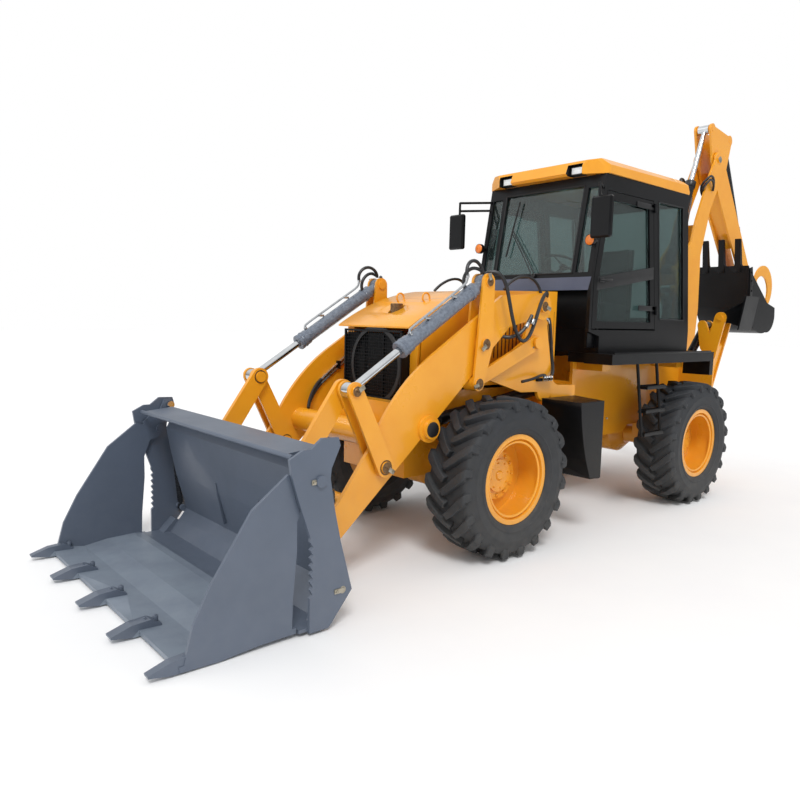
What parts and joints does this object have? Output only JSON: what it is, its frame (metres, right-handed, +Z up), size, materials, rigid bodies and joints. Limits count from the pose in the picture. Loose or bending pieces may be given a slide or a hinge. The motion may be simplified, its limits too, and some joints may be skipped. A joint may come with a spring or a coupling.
{
  "type": "backhoe loader",
  "caption": "Articulated backhoe loader with a clam-type front bucket, glazed cab, side-swinging rear digging arm folded for travel, and stabiliser legs.",
  "frame": {"origin": "bottom centre of the whole machine's box, on the ground, in the centre plane", "axes": "+X forward towards the loader bucket, +Y to the driver's left, +Z up"},
  "size_m": [8.833, 2.228, 4.018],
  "materials": {
    "tyre_rubber": "matt black tyre rubber",
    "machine_yellow": "glossy orange-yellow machine enamel",
    "bucket_slate": "satin slate blue-grey enamel",
    "black_paint": "satin black enamel",
    "cab_slate": "satin dark slate enamel",
    "film_grey": "grey-blue protective film over the barrel",
    "seat_vinyl": "black vinyl and plastic",
    "cab_glass": "tinted safety glass",
    "pin_steel": "zinc-plated steel",
    "chrome_rod": "hard chrome"
  },
  "bodies": {
    "rear_body": {"rear_frame": "machine_yellow", "rear_axle": "machine_yellow", "platforms": "black_paint", "cab_frame": "black_paint", "cab_roof": "cab_slate", "cab_glazing": "cab_glass", "operator_station": "seat_vinyl"},
    "front_body": {"front_frame": "machine_yellow", "front_axle": "machine_yellow", "engine_radiator": "black_paint", "hood": "machine_yellow", "side_tanks": "black_paint"},
    "loader_boom_body": {"loader_boom": "machine_yellow"},
    "lift_barrel_body": {"lift_barrels": "black_paint"},
    "lift_rod_body": {"lift_rods": "chrome_rod"},
    "lever_body": {"levelling_levers": "machine_yellow"},
    "levelling_link_body": {"levelling_links": "machine_yellow"},
    "tilt_barrel_body": {"tilt_barrels": "film_grey", "tilt_base_pins": "pin_steel"},
    "tilt_rod_body": {"tilt_rods": "chrome_rod"},
    "crank_pin_body": {"bell_crank_pins": "pin_steel"},
    "bell_crank_body": {"bell_cranks": "machine_yellow"},
    "link_pin_body": {"link_pins": "pin_steel"},
    "bucket_link_body": {"bucket_links": "machine_yellow"},
    "tip_pin_body": {"boom_tip_pins": "pin_steel"},
    "loader_bucket_body": {"loader_bucket": "bucket_slate"},
    "clam_body": {"bucket_clam": "bucket_slate"},
    "clam_barrel_body": {"clam_ram_barrels": "black_paint"},
    "clam_rod_body": {"clam_ram_rods": "chrome_rod"},
    "swing_post_body": {"swing_post": "machine_yellow"},
    "backhoe_boom_body": {"backhoe_boom": "machine_yellow"},
    "dipper_body": {"dipper": "machine_yellow"},
    "backhoe_bucket_body": {"backhoe_bucket": "black_paint"},
    "idler_body": {"bucket_idler": "machine_yellow"},
    "curved_link_body": {"curved_link": "machine_yellow"},
    "boom_ram_barrel_body": {"backhoe_boom_ram_barrel": "black_paint"},
    "boom_ram_rod_body": {"backhoe_boom_ram_rod": "chrome_rod"},
    "dipper_ram_barrel_body": {"backhoe_dipper_ram_barrel": "black_paint"},
    "dipper_ram_rod_body": {"backhoe_dipper_ram_rod": "chrome_rod"},
    "bucket_ram_barrel_body": {"backhoe_bucket_ram_barrel": "black_paint"},
    "bucket_ram_rod_body": {"backhoe_bucket_ram_rod": "chrome_rod"},
    "wheel_front_left": {"tyre_front_left": "tyre_rubber", "rim_front_left": "machine_yellow"},
    "wheel_front_right": {"tyre_front_right": "tyre_rubber", "rim_front_right": "machine_yellow"},
    "wheel_rear_left": {"tyre_rear_left": "tyre_rubber", "rim_rear_left": "machine_yellow"},
    "wheel_rear_right": {"tyre_rear_right": "tyre_rubber", "rim_rear_right": "machine_yellow"},
    "stabiliser_leg_body_left": {"stabiliser_leg_left": "machine_yellow"},
    "stabiliser_foot_body_left": {"stabiliser_foot_left": "black_paint"},
    "stabiliser_ram_barrel_body_left": {"stabiliser_ram_barrel_left": "black_paint"},
    "stabiliser_ram_rod_body_left": {"stabiliser_ram_rod_left": "chrome_rod"},
    "door_left_body": {"door_left": "black_paint"},
    "stabiliser_leg_body_right": {"stabiliser_leg_right": "machine_yellow"},
    "stabiliser_foot_body_right": {"stabiliser_foot_right": "black_paint"},
    "stabiliser_ram_barrel_body_right": {"stabiliser_ram_barrel_right": "black_paint"},
    "stabiliser_ram_rod_body_right": {"stabiliser_ram_rod_right": "chrome_rod"},
    "door_right_body": {"door_right": "black_paint"}
  },
  "joints": [
    {"name": "steer", "type": "hinge", "parent": "rear_body", "child": "front_body", "pos_m": [0.337, 0, 0.9], "axis": [0, 0, 1], "range_deg": [-36, 36]},
    {"name": "wheel_spin_front_left", "type": "hinge", "parent": "front_body", "child": "wheel_front_left", "pos_m": [1.687, 0.785, 0.5875], "axis": [0, 1, 0], "continuous": true},
    {"name": "wheel_spin_front_right", "type": "hinge", "parent": "front_body", "child": "wheel_front_right", "pos_m": [1.687, -0.785, 0.5875], "axis": [0, 1, 0], "continuous": true},
    {"name": "wheel_spin_rear_left", "type": "hinge", "parent": "rear_body", "child": "wheel_rear_left", "pos_m": [-1.013, 0.785, 0.5875], "axis": [0, 1, 0], "continuous": true},
    {"name": "wheel_spin_rear_right", "type": "hinge", "parent": "rear_body", "child": "wheel_rear_right", "pos_m": [-1.013, -0.785, 0.5875], "axis": [0, 1, 0], "continuous": true},
    {"name": "loader_lift", "type": "hinge", "parent": "front_body", "child": "loader_boom_body", "pos_m": [1.057, 0, 1.832], "axis": [0, -1, 0], "range_deg": [0, 72]},
    {"name": "lift_barrel_swing", "type": "hinge", "parent": "front_body", "child": "lift_barrel_body", "pos_m": [0.93, 0, 1.15], "axis": [0, -1, 0], "range_deg": [-0.06, 57.73]},
    {"name": "lift_rod_slide", "type": "slide", "parent": "lift_barrel_body", "child": "lift_rod_body", "axis": [0.99, 0, -0.1412], "range_m": [-0.001, 0.70357]},
    {"name": "lever_swing", "type": "hinge", "parent": "loader_boom_body", "child": "lever_body", "pos_m": [1.756, 0, 1.542], "axis": [0, -1, 0], "range_deg": [-72.06, 0.06]},
    {"name": "levelling_link_swing", "type": "hinge", "parent": "front_body", "child": "levelling_link_body", "pos_m": [1.112, 0, 1.546], "axis": [0, -1, 0], "range_deg": [-0.06, 72.06]},
    {"name": "crank_pin_turn", "type": "hinge", "parent": "loader_boom_body", "child": "crank_pin_body", "pos_m": [2.668, 0, 0.744], "axis": [0, 1, 0], "range_deg": [-0.06, 58.43]},
    {"name": "bell_crank_swing", "type": "hinge", "parent": "crank_pin_body", "child": "bell_crank_body", "pos_m": [2.668, 0, 0.744], "axis": [0, 1, 0], "range_deg": [-14.06, 30.06]},
    {"name": "tilt_barrel_swing", "type": "hinge", "parent": "lever_body", "child": "tilt_barrel_body", "pos_m": [1.741, 0, 1.989], "axis": [0, -1, 0], "range_deg": [-0.06, 63.59]},
    {"name": "tilt_rod_slide", "type": "slide", "parent": "tilt_barrel_body", "child": "tilt_rod_body", "axis": [0.8499, 0, -0.527], "range_m": [-0.13795, 0.29446]},
    {"name": "link_pin_turn", "type": "hinge", "parent": "bell_crank_body", "child": "link_pin_body", "pos_m": [2.923, 0, 1.256], "axis": [0, -1, 0], "range_deg": [-0.06, 60.46]},
    {"name": "bucket_link_swing", "type": "hinge", "parent": "link_pin_body", "child": "bucket_link_body", "pos_m": [2.923, 0, 1.256], "axis": [0, 1, 0], "range_deg": [-34.39, 16.08]},
    {"name": "tip_pin_turn", "type": "hinge", "parent": "loader_boom_body", "child": "tip_pin_body", "pos_m": [3.167, 0, 0.27], "axis": [0, 1, 0], "range_deg": [-0.06, 74.03]},
    {"name": "bucket_tilt", "type": "hinge", "parent": "tip_pin_body", "child": "loader_bucket_body", "pos_m": [3.167, 0, 0.27], "axis": [0, 1, 0], "range_deg": [-18.74, 40.16]},
    {"name": "clam_open", "type": "hinge", "parent": "loader_bucket_body", "child": "clam_body", "pos_m": [3.475, 0, 0.845], "axis": [0, -1, 0], "range_deg": [0, 60]},
    {"name": "clam_barrel_swing", "type": "hinge", "parent": "loader_bucket_body", "child": "clam_barrel_body", "pos_m": [3.321, 0, 0.213], "axis": [0, -1, 0], "range_deg": [-0.06, 8.74]},
    {"name": "clam_rod_slide", "type": "slide", "parent": "clam_barrel_body", "child": "clam_rod_body", "axis": [0.0986, 0, 0.9951], "range_m": [-0.15563, 0.001]},
    {"name": "backhoe_swing", "type": "hinge", "parent": "rear_body", "child": "swing_post_body", "pos_m": [-2.263, 0, 0.74], "axis": [0, 0, 1], "range_deg": [-90, 90]},
    {"name": "backhoe_boom", "type": "hinge", "parent": "swing_post_body", "child": "backhoe_boom_body", "pos_m": [-2.293, 0, 1.05], "axis": [0, -1, 0], "range_deg": [0, 110]},
    {"name": "boom_ram_swing", "type": "hinge", "parent": "swing_post_body", "child": "boom_ram_barrel_body", "pos_m": [-2.013, 0, 1.3], "axis": [0, -1, 0], "range_deg": [-0.06, 105.59]},
    {"name": "boom_ram_slide", "type": "slide", "parent": "boom_ram_barrel_body", "child": "boom_ram_rod_body", "axis": [0.0487, 0, 0.9988], "range_m": [-0.001, 0.61012]},
    {"name": "dipper", "type": "hinge", "parent": "backhoe_boom_body", "child": "dipper_body", "pos_m": [-2.713, 0, 3.63], "axis": [0, 1, 0], "range_deg": [0, 115]},
    {"name": "dipper_ram_swing", "type": "hinge", "parent": "backhoe_boom_body", "child": "dipper_ram_barrel_body", "pos_m": [-1.953, 0, 2.33], "axis": [0, -1, 0], "range_deg": [-0.06, 5.59]},
    {"name": "dipper_ram_slide", "type": "slide", "parent": "dipper_ram_barrel_body", "child": "dipper_ram_rod_body", "axis": [-0.358, 0, 0.9337], "range_m": [-0.58649, 0.001]},
    {"name": "backhoe_bucket", "type": "hinge", "parent": "dipper_body", "child": "backhoe_bucket_body", "pos_m": [-4.013, 0, 2.09], "axis": [0, 1, 0], "range_deg": [0, 150]},
    {"name": "idler_swing", "type": "hinge", "parent": "dipper_body", "child": "idler_body", "pos_m": [-3.613, 0, 2.4], "axis": [0, -1, 0], "range_deg": [-136.41, 0.06]},
    {"name": "curved_link_swing", "type": "hinge", "parent": "idler_body", "child": "curved_link_body", "pos_m": [-3.893, 0, 2.3], "axis": [0, -1, 0], "range_deg": [-0.06, 153.52]},
    {"name": "bucket_ram_swing", "type": "hinge", "parent": "dipper_body", "child": "bucket_ram_barrel_body", "pos_m": [-3.013, 0, 3.9], "axis": [0, -1, 0], "range_deg": [-0.06, 8.17]},
    {"name": "bucket_ram_slide", "type": "slide", "parent": "bucket_ram_barrel_body", "child": "bucket_ram_rod_body", "axis": [-0.4819, 0, -0.8762], "range_m": [-0.50748, 0.001]},
    {"name": "stabiliser_left", "type": "hinge", "parent": "rear_body", "child": "stabiliser_leg_body_left", "pos_m": [-1.913, 0.42, 0.6], "axis": [-1, 0, 0], "range_deg": [0, 105]},
    {"name": "stabiliser_foot_turn_left", "type": "hinge", "parent": "stabiliser_leg_body_left", "child": "stabiliser_foot_body_left", "pos_m": [-1.913, 0.69, 1.8], "axis": [-1, 0, 0], "range_deg": [-24.16, 0.06]},
    {"name": "stabiliser_ram_swing_left", "type": "hinge", "parent": "stabiliser_leg_body_left", "child": "stabiliser_ram_barrel_body_left", "pos_m": [-1.913, 0.5, 1.72], "axis": [-1, 0, 0], "range_deg": [-13.81, 0.06]},
    {"name": "stabiliser_ram_slide_left", "type": "slide", "parent": "stabiliser_ram_barrel_body_left", "child": "stabiliser_ram_rod_body_left", "axis": [0, -0.4205, -0.9073], "range_m": [-0.001, 0.61307]},
    {"name": "door_left_hinge", "type": "hinge", "parent": "rear_body", "child": "door_left_body", "pos_m": [-0.623, 0.656, 1.655], "axis": [0.1349, 0, 0.9909], "range_deg": [0, 80]},
    {"name": "stabiliser_right", "type": "hinge", "parent": "rear_body", "child": "stabiliser_leg_body_right", "pos_m": [-1.913, -0.42, 0.6], "axis": [1, 0, 0], "range_deg": [0, 105]},
    {"name": "stabiliser_foot_turn_right", "type": "hinge", "parent": "stabiliser_leg_body_right", "child": "stabiliser_foot_body_right", "pos_m": [-1.913, -0.69, 1.8], "axis": [1, 0, 0], "range_deg": [-24.16, 0.06]},
    {"name": "stabiliser_ram_swing_right", "type": "hinge", "parent": "stabiliser_leg_body_right", "child": "stabiliser_ram_barrel_body_right", "pos_m": [-1.913, -0.5, 1.72], "axis": [1, 0, 0], "range_deg": [-13.81, 0.06]},
    {"name": "stabiliser_ram_slide_right", "type": "slide", "parent": "stabiliser_ram_barrel_body_right", "child": "stabiliser_ram_rod_body_right", "axis": [0, 0.4205, -0.9073], "range_m": [-0.001, 0.61307]},
    {"name": "door_right_hinge", "type": "hinge", "parent": "rear_body", "child": "door_right_body", "pos_m": [-0.623, -0.656, 1.655], "axis": [-0.1349, 0, -0.9909], "range_deg": [0, 80]}
  ],
  "couplings": [
    {"joint": "lift_barrel_swing", "follows": "loader_lift", "ratio": 0.80097},
    {"joint": "lift_rod_slide", "follows": "loader_lift", "m_per_rad": 0.55909},
    {"joint": "lever_swing", "follows": "loader_lift", "ratio": -1},
    {"joint": "levelling_link_swing", "follows": "loader_lift", "ratio": 1},
    {"joint": "crank_pin_turn", "follows": "loader_lift", "ratio": 0.81073},
    {"joint": "bell_crank_swing", "follows": "bucket_tilt", "ratio": 0.74707},
    {"joint": "tilt_barrel_swing", "follows": "loader_lift", "ratio": 0.88241},
    {"joint": "tilt_rod_slide", "follows": "bucket_tilt", "m_per_rad": 0.4187},
    {"joint": "link_pin_turn", "follows": "loader_lift", "ratio": 0.83891},
    {"joint": "bucket_link_swing", "follows": "bucket_tilt", "ratio": -0.85499},
    {"joint": "tip_pin_turn", "follows": "loader_lift", "ratio": 1.0274},
    {"joint": "clam_barrel_swing", "follows": "clam_open", "ratio": 0.14466},
    {"joint": "clam_rod_slide", "follows": "clam_open", "m_per_rad": -0.14766},
    {"joint": "boom_ram_swing", "follows": "backhoe_boom", "ratio": 0.95935},
    {"joint": "boom_ram_slide", "follows": "backhoe_boom", "m_per_rad": 0.31727},
    {"joint": "dipper_ram_swing", "follows": "dipper", "ratio": 0.048148},
    {"joint": "dipper_ram_slide", "follows": "dipper", "m_per_rad": -0.29171},
    {"joint": "idler_swing", "follows": "backhoe_bucket", "ratio": -0.90901},
    {"joint": "curved_link_swing", "follows": "backhoe_bucket", "ratio": 1.0231},
    {"joint": "bucket_ram_swing", "follows": "backhoe_bucket", "ratio": 0.054075},
    {"joint": "bucket_ram_slide", "follows": "backhoe_bucket", "m_per_rad": -0.19346},
    {"joint": "stabiliser_foot_turn_left", "follows": "stabiliser_left", "ratio": -0.22952},
    {"joint": "stabiliser_ram_swing_left", "follows": "stabiliser_left", "ratio": -0.13097},
    {"joint": "stabiliser_ram_slide_left", "follows": "stabiliser_left", "m_per_rad": 0.33399},
    {"joint": "stabiliser_foot_turn_right", "follows": "stabiliser_right", "ratio": -0.22952},
    {"joint": "stabiliser_ram_swing_right", "follows": "stabiliser_right", "ratio": -0.13097},
    {"joint": "stabiliser_ram_slide_right", "follows": "stabiliser_right", "m_per_rad": 0.33399}
  ]
}
